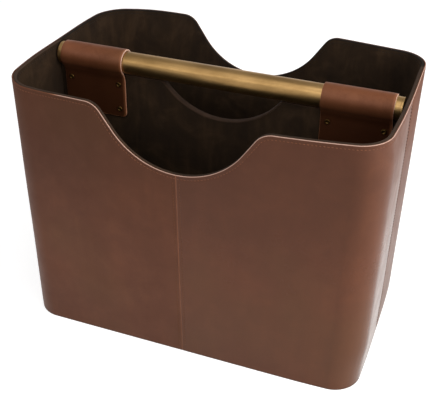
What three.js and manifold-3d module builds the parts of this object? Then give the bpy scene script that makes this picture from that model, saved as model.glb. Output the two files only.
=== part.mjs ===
// Magazine basket: a leather-covered board shell whose walls bow out at the rim, the long ones most,
// and whose long walls are scooped in the middle, lined with suede, with a scooped divider along its
// length. A brass tube lies over the divider in two leather loops that are pinched below it and riveted
// through the divider.
// Millimetres, +Z up, +X along the length. The origin is the middle of the underside.
import * as THREE from "three";
import { mergeVertices } from "three/addons/utils/BufferGeometryUtils.js";
import Module from "manifold-3d";

const wasm = await Module();
wasm.setup();

// Shell: the outline at the rim, whose walls bow out between its corners, and how far the corners
// lean out from the foot to the rim
const height = 305;
const rimCornerLength = 402;
const rimCornerWidth = 240;
const rimEndBow = 2;
const rimSideBow = 13.4;
const rimCornerRadius = 36;
const endLean = 2;
const sideLean = 1.5;
const baseCornerRadius = 32;

// Scoop of the long walls, which the divider repeats
const scoopDepth = 62.6;
const scoopRadius = 82.5;
const scoopShoulderRadius = 20;
const scoopSlope = THREE.MathUtils.degToRad(55.5);
const dividerShoulderRadius = 8;

// Layers of the walls, the base and the divider
const leatherThickness = 1.6;
const wallBoardThickness = 2;
const liningThickness = 1;
const edgeRounding = 0.5;
const baseCoverThickness = 1.6;
const baseBoardThickness = 4;
const floorLiningThickness = 1.2;
const dividerBoardThickness = 5;
const dividerFaceThickness = 1.2;
const dividerBindingThickness = 1.2;

// Handle tube and its end caps
const tubeRadius = 12.5;
const tubeWall = 1.5;
const tubeAxisDrop = 13.9;
const capHeadThickness = 2.5;
const capChamfer = 0.5;
const capPlugLength = 8;
const capEndGap = 2;

// Leather loops and their rivets
const loopWidth = 75.5;
const loopThickness = 2.8;
const loopTubeOverhang = 5.7;
const loopHang = 65.7;
const loopPinchDrop = 23.5;
const loopCornerRadius = 5;
const rivetUpperDrop = 25.5;
const rivetFootInset = 10;
const rivetEdgeInset = 8;
const rivetShankRadius = 1.6;
const rivetHeadRadius = 3;
const rivetHeadHeight = 1.5;

// Running gap between pieces, and how far a cut runs past what it cuts
const clearance = 0.3;
const overrun = 2;

// Steps on curves
const endSteps = 3;
const cornerSteps = 10;
const scoopSteps = 10;
const shoulderSteps = 6;
const flatSteps = 6;
const tubeSides = 32;
const loopSteps = 24;
const neckSteps = 6;
const rivetSides = 12;
const rivetDomeSteps = 3;

// Outline at the base
const baseLength = rimCornerLength - 2 * endLean;
const baseWidth = rimCornerWidth - 2 * sideLean;

// Offsets of the wall layers from the outside of the leather
const wallBoardOffset = leatherThickness + clearance;
const liningOffset = wallBoardOffset + wallBoardThickness + clearance;
const insideOffset = liningOffset + liningThickness;

// Levels and half thicknesses that several pieces share
const baseBoardBottom = baseCoverThickness + clearance;
const floorLevel = baseBoardBottom + baseBoardThickness + clearance;
const dividerHalf = dividerBoardThickness / 2 + clearance + dividerFaceThickness;
const tubeAxisHeight = height - tubeAxisDrop;
const dividerTop = tubeAxisHeight - tubeRadius - clearance;
const scoopFloor = height - scoopDepth;
const scoopCentreHeight = scoopFloor + scoopRadius;

const materials = {
  leather: new THREE.MeshStandardMaterial({ color: "#66432f", roughness: 0.42, metalness: 0 }),
  loopLeather: new THREE.MeshStandardMaterial({ color: "#75432f", roughness: 0.45, metalness: 0 }),
  suede: new THREE.MeshStandardMaterial({ color: "#3b2d23", roughness: 0.95, metalness: 0 }),
  board: new THREE.MeshStandardMaterial({ color: "#8a7358", roughness: 0.9, metalness: 0 }),
  brass: new THREE.MeshStandardMaterial({ color: "#9c7a43", roughness: 0.35, metalness: 1 }),
};

const basket = new THREE.Group();

function addPiece(name, geometry, material) {
  const mesh = new THREE.Mesh(geometry, material);
  mesh.name = name;
  basket.add(mesh);
  return mesh;
}

// A list from first to last in equal steps, both ends included.
function spaced(first, last, steps) {
  return Array.from({ length: steps + 1 }, (_, i) => THREE.MathUtils.lerp(first, last, i / steps));
}

// One wall of an outline: an arc that is tangent to the round corners and stands out by bow at its
// middle. at gives how far out it lies and its normal, at a distance along it from the middle.
function bowedWall(cornerOut, cornerAlong, bow, radius) {
  const curvature = (2 * bow) / (cornerAlong ** 2 + (radius + bow) ** 2 - radius ** 2);
  const tilt = Math.asin((curvature * cornerAlong) / (1 - curvature * radius));
  return {
    tilt,
    tangentPlace: cornerAlong + radius * Math.sin(tilt),
    at(along) {
      const sine = curvature * along;
      const cosine = Math.sqrt(1 - sine ** 2);
      return { out: cornerOut + bow - (sine * along) / (1 + cosine), sine, cosine };
    },
  };
}

// Outline of the shell at one level. Each place has its point and outward normal. A corner's share runs
// from its end wall to its long wall.
function shellOutline(length, width, endBow, sideBow, radius) {
  const centre = new THREE.Vector2(length / 2 - radius, width / 2 - radius);
  const endWall = bowedWall(length / 2, centre.y, endBow, radius);
  const sideWall = bowedWall(width / 2, centre.x, sideBow, radius);
  return {
    tangentX: sideWall.tangentPlace,
    tangentY: endWall.tangentPlace,
    end(y) {
      const { out, sine, cosine } = endWall.at(y);
      return { point: new THREE.Vector2(out, y), normal: new THREE.Vector2(cosine, sine) };
    },
    corner(share) {
      const angle = THREE.MathUtils.lerp(Math.PI / 2 - endWall.tilt, sideWall.tilt, share);
      const normal = new THREE.Vector2(Math.sin(angle), Math.cos(angle));
      return { point: centre.clone().addScaledVector(normal, radius), normal };
    },
    side(x) {
      const { out, sine, cosine } = sideWall.at(x);
      return { point: new THREE.Vector2(x, out), normal: new THREE.Vector2(sine, cosine) };
    },
  };
}

const rimOutline = shellOutline(rimCornerLength, rimCornerWidth, rimEndBow, rimSideBow, rimCornerRadius);
const baseOutline = shellOutline(baseLength, baseWidth, 0, 0, baseCornerRadius);

// A scoop cut down from a top edge: an arc at the bottom, a straight run at the given slope and a round
// shoulder. heightAt gives the edge, or a line that lies inset under it, at a distance from the middle.
function scoopProfile(top, shoulderRadius, slope) {
  const arcsRise = (scoopRadius + shoulderRadius) * (1 - Math.cos(slope));
  const run = (top - scoopFloor - arcsRise) / Math.sin(slope);
  const shoulderX = (scoopRadius + shoulderRadius) * Math.sin(slope) + run * Math.cos(slope);
  const places = [
    ...spaced(0, slope, scoopSteps).map((angle) => scoopRadius * Math.sin(angle)),
    ...spaced(slope, 0, shoulderSteps).map((angle) => shoulderX - shoulderRadius * Math.sin(angle)),
  ];
  const isNew = (x, i) => i === 0 || x - places[i - 1] > clearance;
  return {
    shoulderX,
    places: places.filter(isNew),
    heightAt(x, inset) {
      const arcRadius = scoopRadius + inset;
      const shoulder = shoulderRadius - inset;
      const distance = Math.abs(x);
      if (distance <= arcRadius * Math.sin(slope)) {
        return scoopCentreHeight - Math.sqrt(arcRadius ** 2 - distance ** 2);
      }
      if (distance < shoulderX - shoulder * Math.sin(slope)) {
        const arcEndHeight = scoopCentreHeight - arcRadius * Math.cos(slope);
        return arcEndHeight + (distance - arcRadius * Math.sin(slope)) * Math.tan(slope);
      }
      if (distance < shoulderX) {
        return top - shoulderRadius + Math.sqrt(shoulder ** 2 - (shoulderX - distance) ** 2);
      }
      return top - inset;
    },
  };
}

const dividerSlope = Math.acos(1 - (dividerTop - scoopFloor) / (scoopRadius + dividerShoulderRadius));
const wallScoop = scoopProfile(height, scoopShoulderRadius, scoopSlope);
const dividerScoop = scoopProfile(dividerTop, dividerShoulderRadius, dividerSlope);

// Stations round a quarter of the shell, from the middle of the right end to the middle of the back.
// Each pairs a place on the rim outline with one on the base outline. The margins hold the first and
// last stations back from the middles.
function quarterStations(endMargin, middleMargin) {
  const pair = (place) => ({ rim: place(rimOutline), base: place(baseOutline) });
  const ends = spaced(0, 1, endSteps).slice(0, -1).map((share) =>
    pair((outline) => outline.end(THREE.MathUtils.lerp(endMargin, outline.tangentY, share))),
  );
  const corners = spaced(0, 1, cornerSteps).map((share) => pair((outline) => outline.corner(share)));
  const flats = spaced(0, 1, flatSteps).slice(1, -1).map((share) =>
    pair((outline) => outline.side(THREE.MathUtils.lerp(outline.tangentX, wallScoop.shoulderX, share))),
  );
  const scoops = wallScoop.places.toReversed().map((x) =>
    pair((outline) => outline.side(Math.max(x, middleMargin))),
  );
  return [...ends, ...corners, ...flats, ...scoops];
}

function mirrored(stations, signX, signY) {
  const flip = ({ point, normal }) => ({
    point: new THREE.Vector2(signX * point.x, signY * point.y),
    normal: new THREE.Vector2(signX * normal.x, signY * normal.y),
  });
  const flipped = stations.map(({ rim, base }) => ({ rim: flip(rim), base: flip(base) }));
  return signX * signY > 0 ? flipped : flipped.reverse();
}

// Quadrants in turning order from the right end, by the signs of x and y.
const quadrants = [
  { name: "back_right", signX: 1, signY: 1 },
  { name: "back_left", signX: -1, signY: 1 },
  { name: "front_left", signX: -1, signY: -1 },
  { name: "front_right", signX: 1, signY: -1 },
];

const ringStations = quadrants.flatMap(({ signX, signY }) =>
  mirrored(quarterStations(0, 0), signX, signY).slice(0, -1),
);

// The point of a wall that lies offset in from the outside of the leather at a height.
function wallPoint({ rim, base }, offset, z) {
  const low = base.point.clone().addScaledVector(base.normal, -offset);
  const high = rim.point.clone().addScaledVector(rim.normal, -offset);
  const plan = low.lerp(high, z / height);
  return new THREE.Vector3(plan.x, plan.y, z);
}

const endWallX = (offset, z) =>
  THREE.MathUtils.lerp(baseOutline.end(0).point.x, rimOutline.end(0).point.x, z / height) - offset;
const underRim = (inset) => (station) => wallScoop.heightAt(station.rim.point.x, inset);
const atLevel = (z) => () => z;

// Triangles that fill a plane outline, wound the way the outline runs.
function capTriangles(outline) {
  const triangles = THREE.ShapeUtils.triangulateShape(outline, []);
  const turn = (corners) => Math.sign(THREE.ShapeUtils.area(corners));
  const sameTurn = turn(triangles[0].map((i) => outline[i])) === turn(outline);
  return triangles.map(([a, b, c]) => (sameTurn ? [a, b, c] : [a, c, b]));
}

// A solid from shared points and triangles, turned so that its faces point out.
function closedSolid(points, triangles) {
  const cross = new THREE.Vector3();
  const volume = triangles.reduce(
    (sum, [a, b, c]) => sum + points[a].dot(cross.crossVectors(points[b], points[c])),
    0,
  );
  const wound = volume > 0 ? triangles : triangles.map(([a, b, c]) => [a, c, b]);
  const geometry = new THREE.BufferGeometry().setFromPoints(points);
  geometry.setIndex(wound.flat());
  geometry.computeVertexNormals();
  return geometry;
}

// A wall layer: a section of [offset, level] corners carried along the stations. A closed one joins
// its last station to its first, and an open one is capped at both. The walls twist a little between
// stations, so each face is split from its low corner to its next high one, the same in every layer.
function wallLayer(stations, section, closed) {
  const corners = section.length;
  const points = stations.flatMap((station) =>
    section.map(([offset, level]) => wallPoint(station, offset, level(station))),
  );
  const triangles = [];
  const lastStation = closed ? stations.length : stations.length - 1;
  for (let i = 0; i < lastStation; i += 1) {
    const here = i * corners;
    const next = ((i + 1) % stations.length) * corners;
    for (let j = 0; j < corners; j += 1) {
      const k = (j + 1) % corners;
      const rises = points[here + k].z >= points[here + j].z;
      if (rises) {
        triangles.push([here + j, here + k, next + k], [here + j, next + k, next + j]);
      } else {
        triangles.push([here + j, here + k, next + j], [here + k, next + k, next + j]);
      }
    }
  }
  if (!closed) {
    const place = (station) => ([offset, level]) => new THREE.Vector2(offset, level(station));
    const start = capTriangles(section.map(place(stations[0])));
    const end = capTriangles(section.map(place(stations.at(-1))));
    const endFirst = (stations.length - 1) * corners;
    triangles.push(...start.map(([a, b, c]) => [a, c, b]));
    triangles.push(...end.map((triangle) => triangle.map((i) => i + endFirst)));
  }
  return closedSolid(points, triangles);
}

// A flat slab with the inside outline of the given stations at its bottom level.
function slab(stations, offset, bottom, thickness) {
  const shape = new THREE.Shape(
    stations.map((station) => {
      const { x, y } = wallPoint(station, offset, bottom);
      return new THREE.Vector2(x, y);
    }),
  );
  const geometry = new THREE.ExtrudeGeometry(shape, { depth: thickness, bevelEnabled: false });
  return geometry.translate(0, 0, bottom);
}

// Walls: four leather corner panels that meet at the middles, a board and a lining that laps over it
function addWalls() {
  const leatherSection = [
    [edgeRounding, atLevel(0)],
    [0, atLevel(edgeRounding)],
    [0, underRim(edgeRounding)],
    [edgeRounding, underRim(0)],
    [leatherThickness - edgeRounding, underRim(0)],
    [leatherThickness, underRim(edgeRounding)],
    [leatherThickness, atLevel(0)],
  ];
  const panelStations = quarterStations(clearance / 2, clearance / 2);
  for (const { name, signX, signY } of quadrants) {
    const stations = mirrored(panelStations, signX, signY);
    addPiece(`leather_${name}`, wallLayer(stations, leatherSection, false), materials.leather);
  }

  const boardTop = underRim(liningThickness + clearance);
  const boardInside = wallBoardOffset + wallBoardThickness;
  const boardSection = [
    [wallBoardOffset, atLevel(baseBoardBottom)],
    [wallBoardOffset, boardTop],
    [boardInside, boardTop],
    [boardInside, atLevel(baseBoardBottom)],
  ];
  addPiece("wall_board", wallLayer(ringStations, boardSection, true), materials.board);

  const liningSection = [
    [liningOffset, atLevel(floorLevel)],
    [liningOffset, underRim(liningThickness)],
    [wallBoardOffset, underRim(liningThickness)],
    [wallBoardOffset, underRim(0)],
    [insideOffset, underRim(0)],
    [insideOffset, atLevel(floorLevel)],
  ];
  addPiece("wall_lining", wallLayer(ringStations, liningSection, true), materials.suede);
}

// Base: an underside cover inside the leather, a board on it and a lining on the floor of each bay
function addBase() {
  const cover = slab(ringStations, wallBoardOffset, 0, baseCoverThickness);
  addPiece("base_cover", cover, materials.leather);
  const board = slab(ringStations, liningOffset, baseBoardBottom, baseBoardThickness);
  addPiece("base_board", board, materials.board);
  const bayQuarter = quarterStations(dividerHalf + clearance, 0);
  for (const [name, sign] of [["back", 1], ["front", -1]]) {
    const right = mirrored(bayQuarter, 1, sign);
    const left = mirrored(bayQuarter, -1, sign);
    const stations = sign > 0 ? [...right, ...left.slice(1)] : [...left, ...right.slice(1)];
    const lining = slab(stations, insideOffset + clearance, floorLevel, floorLiningThickness);
    addPiece(`floor_lining_${name}`, lining, materials.suede);
  }
}

// Points of the divider's top edge, or of a line inset under it, from the right end to the left.
function dividerEdge(inset) {
  const half = dividerScoop.places.map((x) => new THREE.Vector2(x, dividerScoop.heightAt(x, inset)));
  const level = dividerTop - inset;
  half.push(new THREE.Vector2(endWallX(insideOffset + clearance, level), level));
  const left = half.slice(1).map(({ x, y }) => new THREE.Vector2(-x, y));
  return [...half.toReversed(), ...left];
}

const loopCentre = endWallX(insideOffset, tubeAxisHeight - tubeRadius)
  - capEndGap - loopTubeOverhang - loopWidth / 2;
const rivetSpread = loopWidth / 2 - rivetEdgeInset;
const rivetHeights = [tubeAxisHeight - rivetUpperDrop, tubeAxisHeight - loopHang + rivetFootInset];
const rivetHoleRadius = rivetShankRadius + clearance;

// Rivet places on one loop, with the names of their corners.
const rivetPlaces = rivetHeights.flatMap((z, row) =>
  [-rivetSpread, rivetSpread].map((x, column) => ({
    x,
    z,
    name: `${["upper", "lower"][row]}_${["left", "right"][column]}`,
  })),
);
const loops = [{ name: "left", centre: -loopCentre }, { name: "right", centre: loopCentre }];

// A plate drawn in X and Z and thick along Y, with its middle plane at a distance from the XZ plane.
function uprightPlate(shape, thickness, middle) {
  const options = { depth: thickness, bevelEnabled: false, curveSegments: rivetSides / 2 };
  const geometry = new THREE.ExtrudeGeometry(shape, options);
  geometry.translate(0, 0, -thickness / 2);
  geometry.rotateX(Math.PI / 2);
  return geometry.translate(0, middle, 0);
}

function drilledDividerShape() {
  const edge = dividerEdge(dividerBindingThickness + clearance);
  const bottomX = endWallX(insideOffset + clearance, floorLevel);
  const foot = [new THREE.Vector2(-bottomX, floorLevel), new THREE.Vector2(bottomX, floorLevel)];
  const shape = new THREE.Shape([...foot, ...edge]);
  for (const { centre } of loops) {
    for (const { x, z } of rivetPlaces) {
      const hole = new THREE.Path();
      hole.absarc(centre + x, z, rivetHoleRadius, 0, 2 * Math.PI, true);
      shape.holes.push(hole);
    }
  }
  return shape;
}

// Divider: a drilled board with a suede face on each side and a binding over its scooped top edge
function addDivider() {
  const shape = drilledDividerShape();
  addPiece("divider_board", uprightPlate(shape, dividerBoardThickness, 0), materials.board);
  const faceMiddle = dividerHalf - dividerFaceThickness / 2;
  addPiece("divider_face_back", uprightPlate(shape, dividerFaceThickness, faceMiddle), materials.suede);
  addPiece("divider_face_front", uprightPlate(shape, dividerFaceThickness, -faceMiddle), materials.suede);
  const bindingOutline = [...dividerEdge(0), ...dividerEdge(dividerBindingThickness).reverse()];
  const binding = uprightPlate(new THREE.Shape(bindingOutline), 2 * dividerHalf, 0);
  addPiece("divider_binding", binding, materials.suede);
}

// Handle: a tube along X with a plugged cap in each end
const capOuterX = loopCentre + loopWidth / 2 + loopTubeOverhang;
const tubeHalfLength = capOuterX - capHeadThickness - clearance;

function revolvedAlongX(profile) {
  const points = profile.map(([radius, x]) => new THREE.Vector2(radius, x));
  return new THREE.LatheGeometry(points, tubeSides).rotateZ(-Math.PI / 2);
}

function addHandle() {
  const bore = tubeRadius - tubeWall;
  const tube = revolvedAlongX([
    [tubeRadius, -tubeHalfLength],
    [tubeRadius, tubeHalfLength],
    [bore, tubeHalfLength],
    [bore, -tubeHalfLength],
    [tubeRadius, -tubeHalfLength],
  ]);
  addPiece("handle_tube", tube, materials.brass).position.z = tubeAxisHeight;
  const plugRadius = bore - clearance;
  const headBack = capOuterX - capHeadThickness;
  for (const [name, sign] of [["left", -1], ["right", 1]]) {
    const cap = revolvedAlongX([
      [0, headBack - capPlugLength],
      [plugRadius, headBack - capPlugLength],
      [plugRadius, headBack],
      [tubeRadius - capChamfer, headBack],
      [tubeRadius, headBack + capChamfer],
      [tubeRadius, capOuterX - capChamfer],
      [tubeRadius - capChamfer, capOuterX],
      [0, capOuterX],
    ]);
    const mesh = addPiece(`handle_cap_${name}`, cap, materials.brass);
    mesh.position.z = tubeAxisHeight;
    mesh.rotation.z = sign > 0 ? 0 : Math.PI;
  }
}

// One surface of a loop, drawn in Y and Z about the tube's axis, from the foot of its back flap over
// the tube to the foot of its front flap: a flap, a neck that is tangent to both, and an arc.
function loopSurface(depth) {
  const innerRadius = (tubeRadius + clearance) / Math.cos(Math.PI / loopSteps);
  const innerFlap = dividerHalf + clearance;
  const pinchSquare = innerFlap ** 2 + loopPinchDrop ** 2;
  const neckRadius = (pinchSquare - innerRadius ** 2) / (2 * (innerRadius - innerFlap));
  const neckY = innerFlap + neckRadius;
  const leaning = Math.atan2(loopPinchDrop, neckY);
  const arcPoint = (angle) => {
    const radius = innerRadius + depth;
    return new THREE.Vector2(radius * Math.cos(angle), radius * Math.sin(angle));
  };
  const neckPoint = (side) => (angle) => {
    const radius = neckRadius - depth;
    const y = neckY - radius * Math.cos(angle);
    return new THREE.Vector2(side * y, radius * Math.sin(angle) - loopPinchDrop);
  };
  const necks = spaced(0, leaning, neckSteps).slice(0, -1);
  const flapFoot = (side) => new THREE.Vector2(side * (innerFlap + depth), -loopHang);
  return [
    flapFoot(1),
    ...necks.map(neckPoint(1)),
    ...spaced(-leaning, Math.PI + leaning, loopSteps).map(arcPoint),
    ...necks.toReversed().map(neckPoint(-1)),
    flapFoot(-1),
  ];
}

// Front outline of a loop, which trims the lower corners of its flaps round.
function loopTrimShape() {
  const half = loopWidth / 2;
  const top = tubeRadius + loopThickness + overrun;
  const radius = loopCornerRadius;
  const shape = new THREE.Shape();
  shape.moveTo(half, top);
  shape.lineTo(-half, top);
  shape.absarc(-half + radius, -loopHang + radius, radius, Math.PI, 1.5 * Math.PI, false);
  shape.absarc(half - radius, -loopHang + radius, radius, 1.5 * Math.PI, 2 * Math.PI, false);
  return shape;
}

function toManifold(geometry) {
  const bare = geometry.clone();
  bare.deleteAttribute("normal");
  bare.deleteAttribute("uv");
  const merged = mergeVertices(bare);
  const mesh = new wasm.Mesh({
    numProp: 3,
    vertProperties: new Float32Array(merged.attributes.position.array),
    triVerts: new Uint32Array(merged.index.array),
  });
  return new wasm.Manifold(mesh);
}

function fromManifold(solid) {
  const { vertProperties, triVerts } = solid.getMesh();
  const geometry = new THREE.BufferGeometry();
  geometry.setAttribute("position", new THREE.BufferAttribute(vertProperties, 3));
  geometry.setIndex(new THREE.BufferAttribute(triVerts, 1));
  geometry.computeVertexNormals();
  return geometry;
}

// A loop about the tube's axis: the wrapped strap, trimmed to its front outline and drilled.
function loopGeometry() {
  const outline = new THREE.Shape([...loopSurface(loopThickness), ...loopSurface(0).reverse()]);
  const strap = new THREE.ExtrudeGeometry(outline, { depth: loopWidth + 2 * overrun, bevelEnabled: false });
  strap.translate(0, 0, -loopWidth / 2 - overrun);
  const alongX = new THREE.Matrix4().makeBasis(
    new THREE.Vector3(0, 1, 0),
    new THREE.Vector3(0, 0, 1),
    new THREE.Vector3(1, 0, 0),
  );
  strap.applyMatrix4(alongX);
  const depth = 2 * (tubeRadius + loopThickness + overrun);
  const trim = uprightPlate(loopTrimShape(), depth, 0);
  let solid = toManifold(strap).intersect(toManifold(trim));
  for (const { x, z } of rivetPlaces) {
    const drill = new THREE.CylinderGeometry(rivetHoleRadius, rivetHoleRadius, depth, rivetSides);
    drill.translate(x, 0, z - tubeAxisHeight);
    solid = solid.subtract(toManifold(drill));
  }
  return fromManifold(solid);
}

// A set rivet along Y: a shank with a domed head outside each flap.
function rivetGeometry() {
  const headBack = dividerHalf + clearance + loopThickness + clearance;
  const domeHalf = spaced(0, Math.PI / 2, rivetDomeSteps).map((angle) => [
    rivetHeadRadius * Math.sin(angle),
    headBack + rivetHeadHeight * Math.cos(angle),
  ]);
  const half = [...domeHalf, [rivetShankRadius, headBack]];
  const otherHalf = half.toReversed().map(([radius, y]) => [radius, -y]);
  const profile = [...half, ...otherHalf].map(([radius, y]) => new THREE.Vector2(radius, y));
  return new THREE.LatheGeometry(profile.reverse(), rivetSides);
}

function addLoops() {
  const strap = loopGeometry();
  const rivet = rivetGeometry();
  for (const { name, centre } of loops) {
    addPiece(`loop_${name}`, strap, materials.loopLeather).position.set(centre, 0, tubeAxisHeight);
    for (const place of rivetPlaces) {
      const mesh = addPiece(`rivet_${name}_${place.name}`, rivet, materials.brass);
      mesh.position.set(centre + place.x, 0, place.z);
    }
  }
}

addWalls();
addBase();
addDivider();
addHandle();
addLoops();

export default basket;
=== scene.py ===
"""Looks of the magazine basket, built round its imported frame. Metres, +Z up, +X along the length."""
from bisect import bisect_left
from collections import namedtuple
from functools import partial
from math import acos, asin, atan2, cos, exp, pi, radians, sin, sqrt, tan

import bmesh
import bpy
from mathutils import Matrix, Vector, noise


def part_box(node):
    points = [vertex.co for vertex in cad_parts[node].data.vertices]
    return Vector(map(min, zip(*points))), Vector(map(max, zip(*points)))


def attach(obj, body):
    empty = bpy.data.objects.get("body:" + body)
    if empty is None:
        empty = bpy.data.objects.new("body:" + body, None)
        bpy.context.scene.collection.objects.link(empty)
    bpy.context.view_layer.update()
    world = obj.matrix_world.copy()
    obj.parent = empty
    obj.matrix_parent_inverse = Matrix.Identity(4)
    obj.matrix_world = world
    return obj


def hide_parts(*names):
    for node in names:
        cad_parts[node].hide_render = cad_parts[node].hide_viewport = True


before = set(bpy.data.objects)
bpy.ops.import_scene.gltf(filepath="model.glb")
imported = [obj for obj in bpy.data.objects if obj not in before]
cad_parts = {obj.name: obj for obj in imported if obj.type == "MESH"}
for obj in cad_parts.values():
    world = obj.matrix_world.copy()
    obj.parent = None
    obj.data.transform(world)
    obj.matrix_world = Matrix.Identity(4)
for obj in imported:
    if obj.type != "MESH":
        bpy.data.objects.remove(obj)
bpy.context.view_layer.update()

Station = namedtuple("Station", "rim rim_normal base base_normal seam")
Finish = namedtuple("Finish", "material slot")
Lamp = namedtuple("Lamp", "size power azimuth elevation distance colour")

MM = 0.001
FAR = 1

# Shell outline and scoop, as the solids have them
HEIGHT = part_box("wall_lining")[1].z
RIM_END_BOW = 2 * MM
RIM_SIDE_BOW = 13.4 * MM
RIM_CORNER_LENGTH = 2 * (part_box("leather_back_right")[1].x - RIM_END_BOW)
RIM_CORNER_WIDTH = 240 * MM
RIM_CORNER_RADIUS = 36 * MM
END_LEAN = 2 * MM
SIDE_LEAN = 1.5 * MM
BASE_CORNER_RADIUS = 32 * MM
SCOOP_DEPTH = 62.6 * MM
SCOOP_RADIUS = 82.5 * MM
SCOOP_SHOULDER_RADIUS = 20 * MM
SCOOP_SLOPE = radians(55.5)
DIVIDER_SHOULDER_RADIUS = 8 * MM

# Layers of the walls, the base and the divider
LEATHER_THICKNESS = 1.6 * MM
LINING_THICKNESS = 1 * MM
LINING_ROUNDING = 0.9 * MM
LIP_TURN_START = -pi / 3
BINDING_CROWN = 0.5 * MM
SHEET_ROUNDING = 0.4 * MM
CLEARANCE = 0.3 * MM
BOARD_OFFSET = 1.9 * MM
BOARD_THICKNESS = 2 * MM
BOARD_TOP_INSET = 1.3 * MM
LINING_OFFSET = 4.2 * MM
INSIDE_OFFSET = LINING_OFFSET + LINING_THICKNESS
FLOOR_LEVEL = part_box("floor_lining_back")[0].z
DIVIDER_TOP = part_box("divider_binding")[1].z
DIVIDER_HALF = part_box("divider_binding")[1].y
BINDING_THICKNESS = 1.2 * MM
DIVIDER_FACE_THICKNESS = 1.2 * MM
SCOOP_FLOOR = HEIGHT - SCOOP_DEPTH

# Panels: rows of stitches, the grooves that they pull in, rolled seam edges and slow waves
STITCH_INSET = 4.4 * MM
SEAM_STITCH_INSET = 3.6 * MM
STITCH_PITCH = 3.7 * MM
STITCH_LENGTH = 2.7 * MM
STITCH_ARCH = 1.1
STITCH_SINK = 0.75
STITCH_THIN_END = 0.7
THREAD_RADIUS = 0.38 * MM
GROOVE_DEPTH = 0.22 * MM
LINING_GROOVE_DEPTH = 0.1 * MM
GROOVE_WIDTH = 0.45 * MM
GROOVE_ROWS = (-2, -1, -0.5, 0, 0.5, 1, 2)
ROLL_ROWS = (0, 0.15, 0.35, 0.6, 1)
RIM_ROWS = (1, 1.4, 1.8, 2.4)
FOOT_ROWS = (0.5, 1, 1.5, 2, 4)
ROW_PAST_STITCHES = 1.8 * STITCH_INSET
SEAM_ROLL = 0.9 * MM
SEAM_ROLL_DEPTH = 0.35 * MM
WAVE_HEIGHT = 0.35 * MM
WAVE_LENGTH = 75 * MM
WAVE_FADE = 12 * MM
FIRST_DIVIDER_SEED = 6

# Where the leather and the lining's lip are painted paler or darker: a painted highlight along the
# front and back seams, a dark line along the end seams, the rim's paler cut edge, painted shade on
# the long walls' upper half, inside the far rims and at the foot, and painted light on the near side
# of the lip with painted shade on its far side
SEAM_TINT_REACH = 0.8 * MM
SEAM_PALE_SHARE = 0.58
END_SEAM_SHADE = 0.6
SIDE_SHADE = 0.46
SIDE_SHADE_FROM = 0.38
SIDE_SHADE_REACH = 0.46
RIM_PALE_REACH = 0.4 * MM
LIP_PAINTED_LIGHT = 0.6
FRONT_LIP_PAINTED_LIGHT = 0.3
RIM_PALE_TURN = radians(58)
RIM_DULL_X = -142 * MM
RIM_DULL_REACH = 7 * MM
RIM_SHADE = 0.8
FOOT_SHADE = 0.7

# How far out the soft shell has settled from its even outline: its ends by the sign of x, its corners
# by the signs of x and y, a bulge of the front right corner between shares of the height, two places
# where the rim stands out (flare), one where it rises and one where it dips
END_SETTLE = {-1: -1.3 * MM, 1: 0.1 * MM}
END_REACH = 112 * MM
END_FOOT_SETTLE = {-1: -1.7 * MM, 1: 2.1 * MM}
CORNER_SETTLE = {(1, 1): 1.8 * MM, (-1, 1): -3.6 * MM, (-1, -1): 0.2 * MM, (1, -1): -1 * MM}
FOOT_SETTLE = {(1, 1): -1.4 * MM, (-1, 1): 0, (-1, -1): -0.2 * MM, (1, -1): -1.4 * MM}
CORNER_REACH = 38 * MM
BULGE = 4 * MM
BULGE_RISE = 0.2
BULGE_FALL = 0.13
FLARE = 1.4 * MM
FLARE_X = -138 * MM
END_FLARE = 1.3 * MM
END_FLARE_Y = -45 * MM
FLARE_REACH = 40 * MM
RISE = 2.7 * MM
RISE_REACH = 60 * MM
DIP = 2.8 * MM
DIP_PLACE = Vector((-168, -122)) * MM
DIP_REACH = 45 * MM

# Handle and its loops
TUBE_LOW, TUBE_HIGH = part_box("handle_tube")
TUBE_AXIS = (TUBE_LOW.z + TUBE_HIGH.z) / 2
TUBE_RADIUS = (TUBE_HIGH.z - TUBE_LOW.z) / 2
TUBE_WALL = 1.5 * MM
TUBE_EDGE = 0.12 * MM
CAP_EDGE = 0.5 * MM
CAP_DOME = 0.25 * MM
CAP_JOINT = 0.1 * MM
LOOP_THICKNESS = 2 * MM
LOOP_SHIFT = {"left": 0, "right": -2.4 * MM}
# Painted shade on the loops' flaps below the tube: its depth, and steps of it as a height above the
# axis where it starts, its reach and its share; the pale cut edges in it are dimmed
LOOP_SHADE = 0.85
LOOP_SHADE_STEPS = ((8 * MM, 9 * MM, 0.6), (-9 * MM, 7 * MM, 0.4))
LOOP_SHADED_PALE = 0.6
LOOP_FOOT_PALE = 0.5
# Pale cut edges of the loops; the left ones are less pale than the right as painted shade
LOOP_CUT_PALE_AND_SHADE = {-1: 0.25, 1: 1}
LOOP_FACE_EDGE_PALE = 0.25
LOOP_PINCH_DROP = 23.5 * MM
LOOP_CORNER_RADIUS = 5 * MM
LOOP_EDGE_ROUNDING = 0.5 * MM
LOOP_EDGE_SQUEEZE = 0.25 * MM
LOOP_SQUEEZE_FROM = 0.88
RIVET_SHANK_RADIUS = 1.6 * MM
RIVET_HEAD_HEIGHT = 1.5 * MM
RIVET_BRIM = 0.25 * MM
RIVET_ROLL_SHARE = 0.25
RIVET_DIMPLE = 0.5 * MM
RIVET_DIMPLE_START = 1.6

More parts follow.
